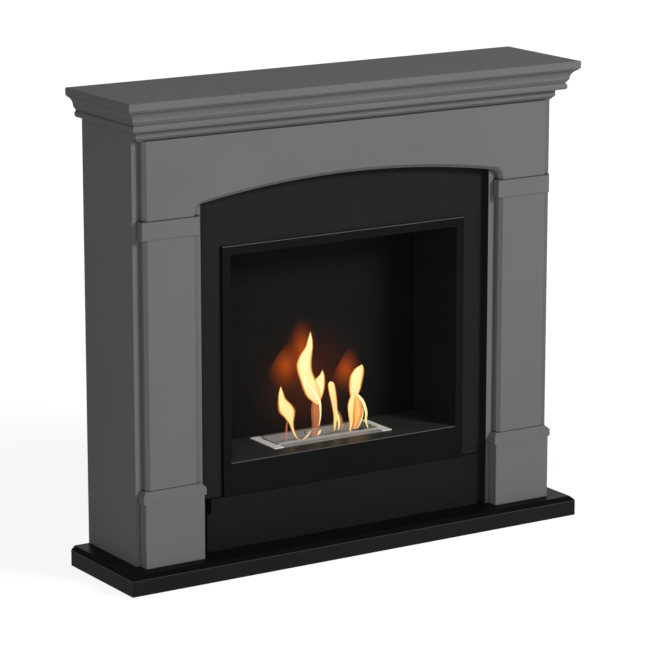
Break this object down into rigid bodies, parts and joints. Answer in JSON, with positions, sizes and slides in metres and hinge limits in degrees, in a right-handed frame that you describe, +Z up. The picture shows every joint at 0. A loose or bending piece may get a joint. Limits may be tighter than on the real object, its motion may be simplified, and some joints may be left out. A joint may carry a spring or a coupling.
{
  "type": "bioethanol fireplace suite",
  "caption": "Free-standing fireplace suite: painted mantel surround on a base slab, black back panel, steel firebox and a lift-out bioethanol burner.",
  "frame": {"origin": "centre of the bounding box at the floor: the middle of the underside of the base slab", "axes": "+Z up; +X to the right seen from the front; the front of the fireplace faces -Y and its flat back, which stands against the wall, faces +Y"},
  "size_m": [1.105, 0.2624, 1],
  "materials": {
    "grey_board": "matt grey paint on board",
    "base_board": "satin near-black paint on board",
    "black_board": "matt black paint on board",
    "black_steel": "satin black powder coat",
    "burner_steel": "brushed",
    "ceramic_wool": "loose white fibre",
    "plain_board": "unpainted fibreboard",
    "screws": "zinc plated"
  },
  "bodies": {
    "suite": {"base_slab": "base_board", "bottom_rear_rail": "plain_board", "cleat_screws": "screws", "cornice_fillet": "grey_board", "cornice_packer": "grey_board", "firebox_back": "black_steel", "firebox_floor": "black_steel", "firebox_left_side": "black_steel", "firebox_right_side": "black_steel", "firebox_roof": "black_steel", "firebox_shelf": "plain_board", "frame_front_plate": "black_steel", "frame_left_stile": "black_steel", "frame_right_stile": "black_steel", "frame_top_rail": "black_steel", "frieze": "grey_board", "front_cornice_moulding": "grey_board", "front_header": "grey_board", "insert_screws": "screws", "kick_panel": "black_board", "left_band": "grey_board", "left_base_cleat": "plain_board", "left_cornice_moulding": "grey_board", "left_firebox_leg": "plain_board", "left_front_board": "grey_board", "left_kick_cleat": "plain_board", "left_pilaster": "grey_board", "left_plinth": "grey_board", "left_plinth_cap": "grey_board", "left_reveal_strip": "black_board", "left_side_board": "grey_board", "left_top_cleat": "plain_board", "mantel_shelf": "grey_board", "panel_header": "black_board", "panel_left_stile": "black_board", "panel_right_stile": "black_board", "panel_screws": "screws", "right_band": "grey_board", "right_base_cleat": "plain_board", "right_cornice_moulding": "grey_board", "right_firebox_leg": "plain_board", "right_front_board": "grey_board", "right_kick_cleat": "plain_board", "right_pilaster": "grey_board", "right_plinth": "grey_board", "right_plinth_cap": "grey_board", "right_reveal_strip": "black_board", "right_side_board": "grey_board", "right_top_cleat": "plain_board", "top_rear_rail": "plain_board"},
    "burner": {"burner_rim": "burner_steel", "burner_collar": "burner_steel", "burner_tank": "burner_steel", "ceramic_wool": "ceramic_wool"}
  },
  "joints": [
    {"name": "burner_lift", "type": "slide", "parent": "suite", "child": "burner", "axis": [0, 0, 1], "range_m": [0, 0.12]}
  ]
}
